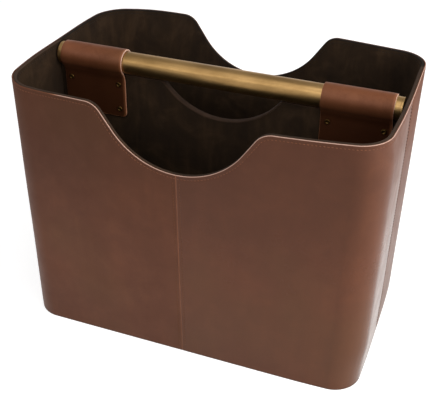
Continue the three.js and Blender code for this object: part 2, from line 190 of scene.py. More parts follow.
# Steps on curves
CORNER_STEPS = 24
END_STEPS = 16
FLAT_STEPS = 5
SCOOP_STEPS = 44
SHOULDER_STEPS = 14
WALL_ROWS = 36
HIDDEN_ROWS = 12
EDGE_STEPS = 8
SHEET_EDGE_STEPS = 3
ROUNDING_STEPS = 4
BINDING_STEPS = 14
TURNED_SIDES = 96
CAP_DOME_STEPS = 6
RIVET_SIDES = 32
RIVET_RIM_STEPS = 6
RIVET_DIMPLE_STEPS = 5
LOOP_WRAP_STEPS = 64
LOOP_NECK_STEPS = 14
LOOP_FLAP_STEPS = 16
LOOP_WIDTH_STEPS = 24
LOOP_CORNER_STEPS = 10
STITCH_STEPS = 6
STITCH_SIDES = 8

# Roughness of each leather panel's wax at its foot and at its rim, where hands have dulled it
PANEL_ROUGHNESS = {
    "back_right": (0.36, 0.8),
    "back_left": (0.36, 0.8),
    "front_left": (0.47, 0.8),
    "front_right": (0.2, 0.52),
}

# Stage: the floor's own tone and its lift to white, the backdrop's brightness at the top and between
# two heights of a direction, and the lamps. Azimuth 0 is in front of the basket and 90 at its right
FLOOR_REACH = 6
FLOOR_TONE = 0.62
FLOOR_LIFT = 0.64
WORLD_TOP = 0.4
WORLD_PALE_BELOW = 0.2
WORLD_DIM_ABOVE = 0.5
LAMPS = {
    "key": Lamp((1.2, 1.2), 24, 78, 22, 1.6, (1, 0.97, 0.92)),
    "overhead": Lamp((1.6, 0.9), 5, 0, 74, 1.7, (1, 1, 1)),
    "front": Lamp((2.6, 0.35), 7.1, -2, 44, 1.7, (1, 1, 1)),
}

# Camera, at the photograph's viewpoint, with angles in degrees
CAMERA_AZIMUTH = 20.194
CAMERA_ELEVATION = 32.788
CAMERA_ROLL = 0.878
CAMERA_DISTANCE = 989.4 * MM
CAMERA_TARGET = Vector((-8.6, 12.4, 124.8)) * MM
CAMERA_FOCUS_PIXELS = 823.55
CAMERA_REACH = 50
PHOTO_WIDTH = 434
SENSOR_WIDTH = 36


def spaced(first, last, steps):
    """From first to last in equal steps, both ends included."""
    return [first + (last - first) * i / steps for i in range(steps + 1)]


def lerp(low, high, share):
    return low + (high - low) * share


def smooth(share):
    share = min(max(share, 0), 1)
    return share * share * (3 - 2 * share)


def bell(distance, width):
    return exp(-((distance / width) ** 2))


def quarter_turn(steps):
    """Pairs of a sine and a fall, which is 1 less the cosine, of the angles up to a right angle."""
    return [(sin(angle), 1 - cos(angle)) for angle in spaced(0, pi / 2, steps)]


# Shell geometry

class BowedWall:
    """One wall of an outline: an arc tangent to the round corners, which stands out by bow."""

    def __init__(self, corner_out, corner_along, bow, radius):
        self.middle = corner_out + bow
        self.curvature = 2 * bow / (corner_along**2 + (radius + bow) ** 2 - radius**2)
        self.tilt = asin(self.curvature * corner_along / (1 - self.curvature * radius))
        self.tangent_place = corner_along + radius * sin(self.tilt)

    def at(self, along):
        """How far out it lies, and the sine and cosine of its turn, at a distance from its middle."""
        sine = self.curvature * along
        cosine = sqrt(1 - sine**2)
        return self.middle - sine * along / (1 + cosine), sine, cosine


class Outline:
    """The shell at one level: bowed ends and sides with round corners between them."""

    def __init__(self, length, width, end_bow, side_bow, radius):
        self.radius = radius
        self.centre = Vector((length / 2 - radius, width / 2 - radius))
        self.end_wall = BowedWall(length / 2, self.centre.y, end_bow, radius)
        self.side_wall = BowedWall(width / 2, self.centre.x, side_bow, radius)

    def end(self, y):
        out, sine, cosine = self.end_wall.at(y)
        return Vector((out, y)), Vector((cosine, sine))

    def corner(self, share):
        angle = lerp(pi / 2 - self.end_wall.tilt, self.side_wall.tilt, share)
        normal = Vector((sin(angle), cos(angle)))
        return self.centre + self.radius * normal, normal

    def side(self, x):
        out, sine, cosine = self.side_wall.at(x)
        return Vector((x, out)), Vector((sine, cosine))


RIM = Outline(RIM_CORNER_LENGTH, RIM_CORNER_WIDTH, RIM_END_BOW, RIM_SIDE_BOW, RIM_CORNER_RADIUS)
BASE = Outline(
    RIM_CORNER_LENGTH - 2 * END_LEAN, RIM_CORNER_WIDTH - 2 * SIDE_LEAN, 0, 0, BASE_CORNER_RADIUS)


class Scoop:
    """A scoop in a top edge: an arc, a straight run at a slope and a round shoulder."""

    def __init__(self, top, shoulder_radius, slope):
        self.top = top
        self.shoulder_radius = shoulder_radius
        self.slope = slope
        self.centre_height = SCOOP_FLOOR + SCOOP_RADIUS
        radii = SCOOP_RADIUS + shoulder_radius
        rise = radii * (1 - cos(slope))
        run = (top - SCOOP_FLOOR - rise) / sin(slope)
        self.shoulder_x = radii * sin(slope) + run * cos(slope)

    def places(self):
        """Distances from the middle, from the shoulder in, with short steps on the curves."""
        shoulder_end = self.shoulder_x - self.shoulder_radius * sin(self.slope)
        angles = spaced(0, self.slope, SHOULDER_STEPS)
        shoulder = [self.shoulder_x - self.shoulder_radius * sin(angle) for angle in angles]
        return shoulder[:-1] + spaced(shoulder_end, 0, SCOOP_STEPS)

    def height_at(self, x, inset=0):
        """Height of the edge, or of a line that lies inset under it, at a distance from the middle."""
        arc_radius = SCOOP_RADIUS + inset
        shoulder = self.shoulder_radius - inset
        distance = abs(x)
        arc_end = arc_radius * sin(self.slope)
        if distance <= arc_end:
            return self.centre_height - sqrt(arc_radius**2 - distance**2)
        if distance < self.shoulder_x - shoulder * sin(self.slope):
            arc_end_height = self.centre_height - arc_radius * cos(self.slope)
            return arc_end_height + (distance - arc_end) * tan(self.slope)
        if distance < self.shoulder_x:
            across = self.shoulder_x - distance
            return self.top - self.shoulder_radius + sqrt(shoulder**2 - across**2)
        return self.top - inset


DIVIDER_SLOPE = acos(1 - (DIVIDER_TOP - SCOOP_FLOOR) / (SCOOP_RADIUS + DIVIDER_SHOULDER_RADIUS))
WALL_SCOOP = Scoop(HEIGHT, SCOOP_SHOULDER_RADIUS, SCOOP_SLOPE)
DIVIDER_SCOOP = Scoop(DIVIDER_TOP, DIVIDER_SHOULDER_RADIUS, DIVIDER_SLOPE)


def seam_places(margin, reach):
    """Distances from a seam, close together where the edge rolls in and where its stitches lie."""
    roll = [margin + SEAM_ROLL * share for share in ROLL_ROWS]
    groove = [SEAM_STITCH_INSET + GROOVE_WIDTH * share for share in GROOVE_ROWS]
    return [place for place in roll + groove if place < reach]


def quarter_stations(end_margin, middle_margin, seams=True):
    """Stations of the back right quarter, from the middle of the end to the middle of the side."""
    stations = []

    def add(rim, base, seam=FAR):
        stations.append(Station(*rim, *base, seam))

    def end_y(outline, share):
        return lerp(near[-1], outline.end_wall.tangent_place, share)

    def side_x(outline, share):
        return lerp(outline.side_wall.tangent_place, WALL_SCOOP.shoulder_x, share)

    near = seam_places(end_margin, RIM.centre.y) if seams else [end_margin]
    for y in near:
        add(RIM.end(y), BASE.end(y), y)
    for share in spaced(0, 1, END_STEPS)[1:-1]:
        add(RIM.end(end_y(RIM, share)), BASE.end(end_y(BASE, share)))
    for share in spaced(0, 1, CORNER_STEPS):
        add(RIM.corner(share), BASE.corner(share))
    for share in spaced(0, 1, FLAT_STEPS)[1:-1]:
        add(RIM.side(side_x(RIM, share)), BASE.side(side_x(BASE, share)))
    near = seam_places(middle_margin, WALL_SCOOP.shoulder_x) if seams else [middle_margin]
    far = [x for x in WALL_SCOOP.places() if x > near[-1] + SEAM_ROLL]
    for x in far + near[::-1]:
        add(RIM.side(x), BASE.side(x), x if seams else FAR)
    return stations


def mirrored(stations, sign_x, sign_y):
    def flip(vector):
        return Vector((sign_x * vector.x, sign_y * vector.y))

    flipped = [Station(*map(flip, station[:4]), station.seam) for station in stations]
    return flipped if sign_x * sign_y > 0 else flipped[::-1]


QUADRANTS = {"back_right": (1, 1), "back_left": (-1, 1), "front_left": (-1, -1), "front_right": (1, -1)}
QUARTER = quarter_stations(0, 0, seams=False)
RING = [station for signs in QUADRANTS.values() for station in mirrored(QUARTER, *signs)[:-1]]

RIM_CORNER, _ = RIM.corner(0.5)
FLARE_PLACE, _ = RIM.side(FLARE_X)
END_FLARE_PLACE = Vector((-RIM.end(END_FLARE_Y)[0].x, END_FLARE_Y))


def settled(station, share):
    """How far out the wall has moved at a station, at a share of the height."""
    rim = station.rim
    signs = (1 if rim.x > 0 else -1, 1 if rim.y > 0 else -1)
    across = min(abs(rim.y) / END_REACH, 1)
    end = END_SETTLE[signs[0]] * cos(across * pi / 2) ** 2 if abs(rim.x) > RIM.centre.x else 0
    at_corner = bell((Vector((abs(rim.x), abs(rim.y))) - RIM_CORNER).length, CORNER_REACH)
    top = end + CORNER_SETTLE[signs] * at_corner
    top += FLARE * bell((rim - FLARE_PLACE).length, FLARE_REACH)
    top += END_FLARE * bell((rim - END_FLARE_PLACE).length, FLARE_REACH)
    foot = end / 2 + FOOT_SETTLE[signs] * at_corner
    foot += END_FOOT_SETTLE[signs[0]] * abs(station.base_normal.x)
    bulge = 0
    if signs == (1, -1):
        from_seam = min(abs(rim.y) / RIM.end_wall.tangent_place, 1)
        bulge = BULGE * from_seam * station.base_normal.x
        bulge *= smooth(share / BULGE_RISE) * smooth((1 - share) / BULGE_FALL)
    return lerp(foot, top, share) + bulge


def wall_point(station, offset, z):
    """The point of a wall at a height that lies offset in from the outside of the leather."""
    share = z / HEIGHT
    offset -= settled(station, share)
    low = station.base - offset * station.base_normal
    high = station.rim - offset * station.rim_normal
    plan = low.lerp(high, share)
    rise = RISE * bell((station.rim - FLARE_PLACE).length, RISE_REACH)
    rise -= DIP * bell((station.rim - DIP_PLACE).length, DIP_REACH)
    return Vector((plan.x, plan.y, z + rise * share**2))


def end_wall_x(sign, offset, z):
    """Place of an end wall's middle at a height, offset in from the outside of the leather."""
    share = z / HEIGHT
    middle = lerp(BASE.end_wall.middle, RIM.end_wall.middle, share)
    spread = END_SETTLE[sign] * lerp(0.5, 1, share) + END_FOOT_SETTLE[sign] * (1 - share)
    flare = END_FLARE * bell(END_FLARE_Y, FLARE_REACH) * share if sign < 0 else 0
    return sign * (middle + spread + flare - offset)


def top_of(station, inset=0):
    return WALL_SCOOP.height_at(station.rim.x, inset)


def wave(point, seed):
    """A slow wave of a soft skin, the same each run."""
    return WAVE_HEIGHT * noise.noise(point / WAVE_LENGTH + Vector((seed, 0, 0)))


def row_insets(first, last):
    """Insets under the rim, close together at the rim's row of stitches."""
    rim = [first * share for share in RIM_ROWS]
    groove = [STITCH_INSET + GROOVE_WIDTH * share for share in GROOVE_ROWS]
    return rim + groove + [ROW_PAST_STITCHES, last]


# Meshes

def loft(rings, closed=False):
    """Vertices and faces of a skin over closed rings of points, capped at its ends unless closed."""
    size = len(rings[0])
    vertices = [point for ring in rings for point in ring]
    faces = []
    for i in range(len(rings) if closed else len(rings) - 1):
        here, there = i * size, (i + 1) % len(rings) * size
        for j in range(size):
            k = (j + 1) % size
            faces.append((here + j, here + k, there + k, there + j))
    if not closed:
        last = (len(rings) - 1) * size
        faces.append(tuple(reversed(range(size))))
        faces.append(tuple(range(last, last + size)))
    return vertices, faces


def joined(parts):
    """Several pairs of vertices and faces as one pair."""
    vertices, faces = [], []
    for points, polygons in parts:
        start = len(vertices)
        vertices.extend(points)
        faces.extend(tuple(start + i for i in polygon) for polygon in polygons)
    return vertices, faces


def new_object(name, data):
    made = bpy.data.objects.new(name, data)
    bpy.context.scene.collection.objects.link(made)
    return made


def add_piece(name, geometry, finish, replaces=(), body="basket", sharp=40, edge=None):
    """A smooth-shaded piece that rides on a body. edge: each vertex's paleness and painted light, or
    painted shade.
    """
    mesh = bpy.data.meshes.new(name)
    mesh.from_pydata(geometry[0], [], geometry[1])
    skin = bmesh.new()
    skin.from_mesh(mesh)
    bmesh.ops.recalc_face_normals(skin, faces=skin.faces)
    skin.to_mesh(mesh)
    skin.free()
    mesh.shade_smooth()
    mesh.set_sharp_from_angle(angle=radians(sharp))
    mesh.materials.append(finish.material)
    if edge is not None:
        mesh.attributes.new("paleness_and_painted_light", "FLOAT", "POINT").data.foreach_set("value", edge)
    piece = new_object(name, mesh)
    if replaces:
        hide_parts(*replaces)
    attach(piece, body)


def add_sections(name, sections, finish, replaces, closed=False):
    """A piece lofted over sections, each a ring of points and each point's paleness and painted light,
    or painted shade.
    """
    geometry = loft([ring for ring, _ in sections], closed)
    edge = [value for _, values in sections for value in values]
    add_piece(name, geometry, finish, replaces, edge=edge)


# Materials

def srgb(red, green, blue):
    """A colour from its 0 to 255 values, as the linear value that shaders take."""
    def linear(value):
        value /= 255
        return value / 12.92 if value <= 0.04045 else ((value + 0.055) / 1.055) ** 2.4
    return linear(red), linear(green), linear(blue), 1.0


def new_material(name):
    """A material with its node tree and its shader."""
    material = bpy.data.materials.new(name)
    material.use_nodes = True
    return material, material.node_tree, material.node_tree.nodes["Principled BSDF"]


def fill(tree, made, inputs):
    """Gives a node its inputs: values, or sockets to link from, by the input's name or number."""
    for key, value in inputs.items():
        if isinstance(value, bpy.types.NodeSocket):
            tree.links.new(value, made.inputs[key])
        else:
            made.inputs[key].default_value = value


def node(tree, kind, inputs=None, **settings):
    """A shader node. kind is its type in Blender, without the ShaderNode that all start with."""
    made = tree.nodes.new("ShaderNode" + kind)
    for key, value in settings.items():
        setattr(made, key, value)
    fill(tree, made, inputs or {})
    return made


def object_place(tree, stretch=(1, 1, 1)):
    place = node(tree, "TexCoord").outputs["Object"]
    return node(tree, "Mapping", {"Vector": place, "Scale": stretch}).outputs["Vector"]


def noise_of(tree, size, detail=3, roughness=0.5, stretch=(1, 1, 1), distortion=0):
    """Noise whose features are about size metres across."""
    inputs = {"Vector": object_place(tree, stretch), "Scale": 1 / size}
    inputs |= {"Detail": detail, "Roughness": roughness, "Distortion": distortion}
    return node(tree, "TexNoise", inputs).outputs["Fac"]


def ramp(tree, factor, stops):
    """Colours by factor. stops are pairs of a place from 0 to 1 and a colour."""
    made = node(tree, "ValToRGB", {"Fac": factor})
    elements = made.color_ramp.elements
    while len(elements) < len(stops):
        elements.new(1)
    for element, (place, colour) in zip(elements, stops):
        element.position = place
        element.color = colour
    return made.outputs["Color"]


def ranged(tree, value, low, high, from_low=0.3, from_high=0.7):
    """The value's place between from_low and from_high, as a value between low and high."""
    inputs = {"Value": value, "From Min": from_low, "From Max": from_high}
    inputs |= {"To Min": low, "To Max": high}
    return node(tree, "MapRange", inputs).outputs["Result"]


def mixed(tree, factor, first, second):
    """Two colours mixed by factor."""
    return node(tree, "Mix", {0: factor, 6: first, 7: second}, data_type="RGBA").outputs[2]


def combined(tree, operation, first, second):
    return node(tree, "Math", {0: first, 1: second}, operation=operation).outputs[0]


def bumped(tree, height, distance, strength, normal=None):
    inputs = {"Height": height, "Distance": distance, "Strength": strength}
    if normal is not None:
        inputs["Normal"] = normal
    return node(tree, "Bump", inputs).outputs["Normal"]


def paleness_and_shade_of(tree):
    """The piece's paleness and painted light from 0 to 1, or its painted shade from 0 to -1."""
    return node(tree, "Attribute", attribute_name="paleness_and_painted_light").outputs["Fac"]


def leather_material(name, dark, middle, light, olive, shade, pale_tan, edge, roughness):
    """Waxed leather: mottled colour, fine grain, paler edges, painted highlight and painted shade.
    roughness is at foot and rim.
    """
    material, tree, shader = new_material(name)
    clouds = noise_of(tree, 110 * MM, 4, 0.55)
    mottle = noise_of(tree, 22 * MM, 5, 0.6, distortion=0.4)
    streaks = noise_of(tree, 14 * MM, stretch=(1, 1, 0.12))
    pores = noise_of(tree, 1.1 * MM, 2)
    cells = {"Vector": object_place(tree), "Scale": 1 / (1.3 * MM)}
    grain = node(tree, "TexVoronoi", cells, feature="DISTANCE_TO_EDGE").outputs["Distance"]
    creases = noise_of(tree, 7 * MM, 6, 0.65, distortion=0.8)
    broad = ramp(tree, clouds, [(0.3, dark), (0.5, middle), (0.72, light)])
    patches = ramp(tree, mottle, [(0.32, dark), (0.52, middle), (0.7, light)])
    dye_and_painted_light = mixed(tree, 0.42, broad, patches)
    dye_and_painted_light = mixed(tree, ranged(tree, noise_of(tree, 150 * MM, 2), 0, 0.55, 0.45, 0.65), dye_and_painted_light, olive)
    dye_and_painted_light = mixed(tree, ranged(tree, streaks, 0, 0.3), dye_and_painted_light, dark)
    dye_and_painted_light = mixed(tree, ranged(tree, pores, 0, 0.16), dye_and_painted_light, light)
    # Painted shade below 0; above 0 a pale tan, then the pale cut edge, for paler edges and the seams'
    # painted highlight
    pale_and_shade = paleness_and_shade_of(tree)
    dye_and_painted_light = mixed(tree, ranged(tree, pale_and_shade, 1, 0, -1, 0), dye_and_painted_light, shade)
    fibres = noise_of(tree, 0.6 * MM, 3, 0.7)
    pale = mixed(tree, ranged(tree, fibres, 0, 0.35), edge, middle)
    dye_and_painted_light = mixed(tree, ranged(tree, pale_and_shade, 0, 1, 0, 0.5), dye_and_painted_light, pale_tan)
    dye_and_painted_light = mixed(tree, ranged(tree, pale_and_shade, 0, 1, 0.5, 1), dye_and_painted_light, pale)
    height = node(tree, "SeparateXYZ", {0: object_place(tree)}).outputs["Z"]
    rise = combined(tree, "POWER", ranged(tree, height, 0, 1, 0, HEIGHT), 2.5)
    wax = ranged(tree, rise, *roughness, 0, 1)
    uneven = ranged(tree, mottle, 0.05, -0.05)
    relief = bumped(tree, creases, 0.12 * MM, 0.35)
    fill(tree, shader, {
        "Base Color": dye_and_painted_light,
        "Roughness": combined(tree, "ADD", wax, uneven),
        "Specular IOR Level": 0.15,
        "Normal": bumped(tree, grain, 0.05 * MM, 0.5, relief),
    })
    return material


def suede_material(name, dark, middle, light, paler, shadow, sheen):
    """Suede: nap brushed light or dark in patches, short fibres, and a lip with painted light and
    painted shade.
    """
    material, tree, shader = new_material(name)
    brushed = noise_of(tree, 38 * MM, 5, 0.62, distortion=0.9)
    strokes = noise_of(tree, 12 * MM, 4, 0.6, stretch=(1, 1, 0.18))
    fibres = noise_of(tree, 0.9 * MM, 3, 0.7)
    nap = ramp(tree, brushed, [(0.34, dark), (0.52, middle), (0.7, light)])
    lie = ramp(tree, strokes, [(0.34, dark), (0.55, middle), (0.74, light)])
    dye_and_painted_light = mixed(tree, 0.45, nap, lie)
    dye_and_painted_light = mixed(tree, ranged(tree, fibres, 0, 0.3), dye_and_painted_light, dark)
    # Painted shade on the far lip below 0, and painted light on the near lip above 0
    pale_and_shade = paleness_and_shade_of(tree)
    dye_and_painted_light = mixed(tree, ranged(tree, pale_and_shade, 0.8, 0, -1, 0), dye_and_painted_light, shadow)
    relief = bumped(tree, strokes, 0.3 * MM, 0.4)
    fill(tree, shader, {
        "Base Color": mixed(tree, ranged(tree, pale_and_shade, 0, 1, 0, 1), dye_and_painted_light, paler),
        "Roughness": ranged(tree, brushed, 0.98, 0.82),
        "Specular IOR Level": 0.2,
        "Sheen Weight": sheen,
        "Sheen Roughness": 0.55,
        "Sheen Tint": light,
        "Normal": bumped(tree, fibres, 0.12 * MM, 0.6, relief),
    })
    return material


def brass_material(name, dark, light, gloss):
    """Aged brass: brushed along its length, with brown tarnish in soft clouds and fine scratches."""
    material, tree, shader = new_material(name)
    tarnish = noise_of(tree, 30 * MM, 5, 0.6, stretch=(0.4, 1, 1))
    brushing = noise_of(tree, 1.2 * MM, 3, 0.6, stretch=(0.02, 1, 1))
    specks = noise_of(tree, 2.5 * MM, 4, 0.7)
    metal = ramp(tree, tarnish, [(0.3, dark), (0.62, light)])
    metal = mixed(tree, ranged(tree, brushing, 0, 0.25), metal, dark)
    fill(tree, shader, {
        "Base Color": mixed(tree, ranged(tree, specks, 0, 0.2, 0.5, 0.75), metal, dark),
        "Roughness": ranged(tree, brushing, gloss - 0.04, gloss + 0.06),
        "Metallic": 1,
        "Normal": bumped(tree, brushing, 0.02 * MM, 0.4),
    })
    return material


def thread_material(name, dark, light):
    """Waxed twisted thread."""
    material, tree, shader = new_material(name)
    plies = noise_of(tree, 0.5 * MM, 2)
    soil = noise_of(tree, 18 * MM)
    stops = [(0.35, dark), (0.65, light)]
    fill(tree, shader, {
        "Base Color": mixed(tree, 0.5, ramp(tree, plies, stops), ramp(tree, soil, stops)),
        "Roughness": 0.6,
        "Specular IOR Level": 0.2,
        "Normal": bumped(tree, plies, 0.1 * MM, 0.6),
    })
    return material


def board_material(name, dark, light):
    """Pressed fibre board."""
    material, tree, shader = new_material(name)
    fibres = noise_of(tree, 3 * MM, 5, 0.7)
    fill(tree, shader, {
        "Base Color": ramp(tree, fibres, [(0.35, dark), (0.65, light)]),
        "Roughness": 0.9,
        "Normal": bumped(tree, fibres, 0.2 * MM, 0.5),
    })
    return material


def dyed(slot, make, name, *colours, **settings):
    """A finish, from a function that makes a material and colours by their 0 to 255 values."""
    return Finish(make(name, *(srgb(*colour) for colour in colours), **settings), slot)


# Leather colours: dark, middle, light and olive tones, the painted shade, a pale tan and the pale cut
# edge
WALL_COLOURS = (
    (84, 50, 35), (95, 57, 40), (108, 65, 44), (91, 61, 40), (60, 35, 24), (142, 94, 70),
    (188, 159, 146))
PANEL_LEATHER = {
    name: dyed("wall_leather", leather_material, f"leather_{name}", *WALL_COLOURS, roughness=roughness)
    for name, roughness in PANEL_ROUGHNESS.items()
}
# The loops' fifth colour is their painted shade
LOOP_LEATHER = dyed(
    "loop_leather", leather_material, "loop_leather", (84, 45, 25), (112, 66, 42), (135, 84, 57),
    (104, 65, 38), (40, 17, 5), (160, 106, 76), (206, 172, 154), roughness=(0.44, 0.44))
# The suede's fifth colour is the painted shade of the far lip
SUEDE = dyed(
    "suede", suede_material, "suede", (29, 19, 10), (43, 29, 15), (68, 49, 31), (66, 50, 40),
    (14, 10, 7), sheen=0.04)
BINDING = dyed(
    "suede", suede_material, "suede_binding", (44, 30, 21), (58, 41, 29), (76, 55, 41), (76, 55, 41),
    (26, 19, 14), sheen=0.05)
BRASS = dyed("brass", brass_material, "brass", (142, 110, 66), (196, 158, 104), gloss=0.38)
RIVET_BRASS = dyed("brass", brass_material, "rivet_brass", (72, 51, 24), (114, 87, 47), gloss=0.42)
THREAD = dyed("wall_leather", thread_material, "thread", (98, 59, 40), (122, 76, 52))
SEAM_THREAD = dyed("wall_leather", thread_material, "seam_thread", (88, 52, 32), (112, 70, 44))
END_THREAD = dyed("wall_leather", thread_material, "end_thread", (46, 29, 19), (66, 43, 30))
LINING_THREAD = dyed("suede", thread_material, "lining_thread", (16, 11, 8), (24, 17, 12))
BOARD = dyed("board", board_material, "board", (112, 92, 70), (146, 124, 96))


# Walls

def panel_dent(seam, inset):
    """How far a panel's face is drawn in by its rolled seam edges and by its rows of stitches."""
    roll = SEAM_ROLL_DEPTH * max(0, 1 - seam / SEAM_ROLL) ** 2
    rows = (seam - SEAM_STITCH_INSET, inset - STITCH_INSET)
    return roll + GROOVE_DEPTH * max(bell(distance, GROOVE_WIDTH) for distance in rows)


def panel_ring(station, seed):
    """Section of a panel at a station: up its face, round its cut edge and down its back."""
    radius = LEATHER_THICKNESS / 2
    # How much paler the rim's cut edge is; the paleness fades out toward the left end
    paler = smooth((station.rim.x - RIM_DULL_X) / RIM_DULL_REACH)
    # Painted shade on the inner half of the cut edge at the far rims
    shade = RIM_SHADE if lip_light_and_shade(station) < 0 else 0
    # Painted shade on the long walls, deepening toward the rim
    side_shade = SIDE_SHADE * station.base_normal.y ** 2
    # A painted highlight along the front and back seams, and a dark line along the end seams
    seam_tint = -END_SEAM_SHADE if abs(station.rim.x) > RIM.centre.x else SEAM_PALE_SHARE
    ring, edge = [], []

    def face(z, inset):
        still = wall_point(station, 0, z)
        fade = smooth(inset / WAVE_FADE) * smooth(z / WAVE_FADE)
        offset = panel_dent(station.seam, inset) - fade * wave(still, seed)
        ring.append(wall_point(station, offset, z))
        rim_share = paler * (1 - smooth((inset - RIM_PALE_REACH) / RIM_PALE_REACH))
        seam_share = seam_tint * (1 - smooth(station.seam / SEAM_TINT_REACH))
        # Painted shade along the foot
        foot_share = FOOT_SHADE * (1 - smooth((z - radius) / radius))
        # Painted shade on the long walls' upper half
        deep = side_shade * smooth((z / HEIGHT - SIDE_SHADE_FROM) / SIDE_SHADE_REACH)
        edge.append((rim_share or seam_share or -deep) - foot_share)

    def turn(offset, z, cut):
        ring.append(wall_point(station, offset, z))
        edge.append(cut)

    # The foot's rounding, in painted shade
    turn(radius, 0, -FOOT_SHADE)
    foot = [radius * share for share in FOOT_ROWS] + [WAVE_FADE, 2 * WAVE_FADE]
    top_row = top_of(station, WAVE_FADE)
    for z in foot:
        face(z, FAR)
    for share in spaced(0, 1, WALL_ROWS)[1:-1]:
        z = lerp(foot[-1], top_row, share)
        face(z, max(top_of(station) - z, WAVE_FADE))
    for inset in reversed(row_insets(radius, WAVE_FADE)):
        face(top_of(station, inset), inset)
    # Round the cut edge: paler on its outer side, painted shade on its inner side at the far rims
    for angle in spaced(0, pi, EDGE_STEPS)[1:]:
        across, up = radius * (1 - cos(angle)), radius * (1 - sin(angle))
        pale = paler * (1 - smooth((angle - RIM_PALE_TURN) / RIM_PALE_TURN))
        dark = shade * smooth((angle - 2 * RIM_PALE_TURN) / RIM_PALE_TURN)
        turn(across, top_of(station, up), pale - dark)
    for share in spaced(1, 0, HIDDEN_ROWS)[1:-1]:
        turn(LEATHER_THICKNESS, lerp(foot[-1], top_row, share), 0)
    turn(LEATHER_THICKNESS, foot[0], 0)
    return ring, edge


def add_panels():
    quarter = quarter_stations(CLEARANCE / 2, CLEARANCE / 2)
    for seed, (name, signs) in enumerate(QUADRANTS.items()):
        sections = [panel_ring(station, seed) for station in mirrored(quarter, *signs)]
        add_sections(f"panel_{name}", sections, PANEL_LEATHER[name], [f"leather_{name}"])


def lip_light_and_shade(station):
    """How pale the lip of the lining is painted where light falls on it. Its painted shade on the far
    side is -1.
    """
    x, y = station.rim
    if y > RIM.centre.y or (x < 0 and y > 0):
        return -1
    return LIP_PAINTED_LIGHT if x > RIM.centre.x or x < RIM_DULL_X else FRONT_LIP_PAINTED_LIGHT


def lining_ring(station, seed):
    """Section of the lining: up behind the board, over it and down the inside."""
    back_rows = spaced(FLOOR_LEVEL, top_of(station, LINING_THICKNESS), HIDDEN_ROWS)
    ring = [wall_point(station, LINING_OFFSET, z) for z in back_rows]
    lip = LINING_THICKNESS / 2

    def turn(offset, inset):
        ring.append(wall_point(station, offset, top_of(station, inset)))

    def face(z, inset):
        still = wall_point(station, INSIDE_OFFSET, z)
        fade = smooth(inset / WAVE_FADE) * smooth((z - FLOOR_LEVEL) / WAVE_FADE)
        groove = LINING_GROOVE_DEPTH * bell(inset - STITCH_INSET, GROOVE_WIDTH)
        ring.append(wall_point(station, INSIDE_OFFSET - groove + fade * wave(still, seed), z))

    turn(BOARD_OFFSET + lip / 2, LINING_THICKNESS)
    lip_start = len(ring)
    for angle in spaced(LIP_TURN_START, pi / 2, ROUNDING_STEPS):
        turn(BOARD_OFFSET + lip * (1 - cos(angle)), lip * (1 - sin(angle)))
    for sine, fall in quarter_turn(EDGE_STEPS):
        turn(INSIDE_OFFSET - LINING_ROUNDING + LINING_ROUNDING * sine, LINING_ROUNDING * fall)
    lip_end = len(ring)
    for inset in row_insets(1.3 * LINING_ROUNDING, WAVE_FADE):
        face(top_of(station, inset), inset)
    for share in spaced(1, 0, WALL_ROWS)[1:-1]:
        face(lerp(FLOOR_LEVEL, top_of(station, WAVE_FADE), share), WAVE_FADE)
    face(FLOOR_LEVEL, WAVE_FADE)
    # The lip carries painted light on the near side and painted shade on the far side
    edge = [lip_light_and_shade(station) if lip_start <= i < lip_end else 0 for i in range(len(ring))]
    return ring, edge


def add_lining():
    sections = [lining_ring(station, len(QUADRANTS)) for station in RING]
    add_sections("lining", sections, SUEDE, ["wall_lining"], closed=True)


def add_wall_board():
    rings = []
    for station in RING:
        rows = spaced(BOARD_OFFSET, top_of(station, BOARD_TOP_INSET), HIDDEN_ROWS)
        outside = [wall_point(station, BOARD_OFFSET, z) for z in rows]
        inside = [wall_point(station, BOARD_OFFSET + BOARD_THICKNESS, z) for z in rows]
        rings.append(outside + inside[::-1])
    add_piece("stiffener", loft(rings, closed=True), BOARD, ["wall_board"])


def slab(ring_at, bottom, thickness):
    """A flat sheet with soft edges. ring_at gives its outline drawn in by an inset, at a height."""
    top = bottom + thickness
    edge = [(SHEET_ROUNDING * (1 - sine), SHEET_ROUNDING * fall)
            for sine, fall in quarter_turn(SHEET_EDGE_STEPS)]
    rings = [ring_at(inset, bottom + rise) for inset, rise in edge]
    return loft(rings + [ring_at(inset, top - fall) for inset, fall in reversed(edge)])


def plan_ring(stations, offset, level, z):
    """Outline of the walls at a level and an offset, as a flat ring at the height z."""
    points = [wall_point(station, offset, level) for station in stations]
    return [Vector((point.x, point.y, z)) for point in points]


def bay_ring(sign, inset, z):
    """Outline of a bay's floor, drawn in from the lining and the divider by inset."""
    quarter = quarter_stations(DIVIDER_HALF + CLEARANCE + inset, 0, seams=False)
    right, left = mirrored(quarter, 1, sign), mirrored(quarter, -1, sign)
    stations = right + left[1:] if sign > 0 else left + right[1:]
    offset = INSIDE_OFFSET + CLEARANCE + inset
    return plan_ring(stations, offset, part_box("floor_lining_back")[0].z, z)


def base_ring(inset, z):
    return plan_ring(RING, BOARD_OFFSET + inset, 0, z)


def base_board_ring(inset, z):
    offset = BOARD_OFFSET + BOARD_THICKNESS + CLEARANCE + inset
    return [wall_point(station, offset, z) for station in RING]


def add_base():
    sheets = (
        ("underside", "base_cover", base_ring, PANEL_LEATHER["back_left"]),
        ("bottom_board", "base_board", base_board_ring, BOARD),
        ("bay_floor_back", "floor_lining_back", partial(bay_ring, 1), SUEDE),
        ("bay_floor_front", "floor_lining_front", partial(bay_ring, -1), SUEDE),
    )
    for name, node_name, ring_at, finish in sheets:
        low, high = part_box(node_name)
        add_piece(name, slab(ring_at, low.z, high.z - low.z), finish, [node_name])


# Divider

